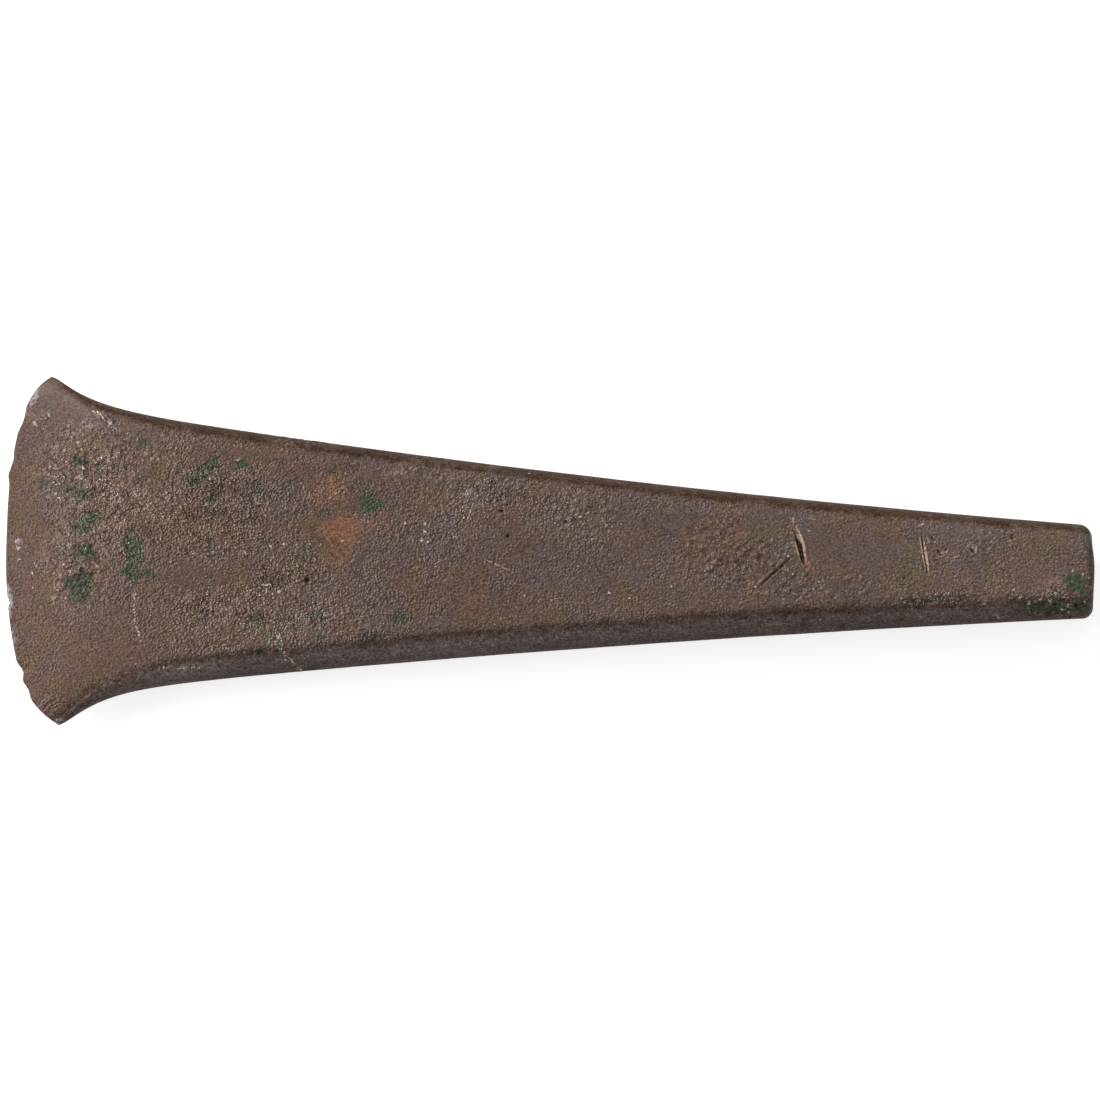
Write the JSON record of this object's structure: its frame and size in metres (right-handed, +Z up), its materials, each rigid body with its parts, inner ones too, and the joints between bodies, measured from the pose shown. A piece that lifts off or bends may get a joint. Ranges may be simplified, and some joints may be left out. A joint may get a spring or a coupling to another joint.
{
  "type": "copper axe head",
  "caption": "Long flat axe head of patinated copper with a flared, blunt cutting edge, slightly hollow tapering sides and a narrow butt, lying on one broad face.",
  "frame": {"origin": "middle of the axe head's box, at the level of the surface that it lies on", "axes": "+X along the length from the cutting edge to the butt, +Y across the blade towards the far side, +Z up through the thickness"},
  "size_m": [0.2, 0.0654, 0.0124],
  "materials": {
    "brown_patina": "corroded copper under a semi-gloss brown patina, finely pitted, with green, orange and lilac-grey spots"
  },
  "bodies": {
    "root": {"axe_head": "brown_patina"}
  },
  "joints": []
}
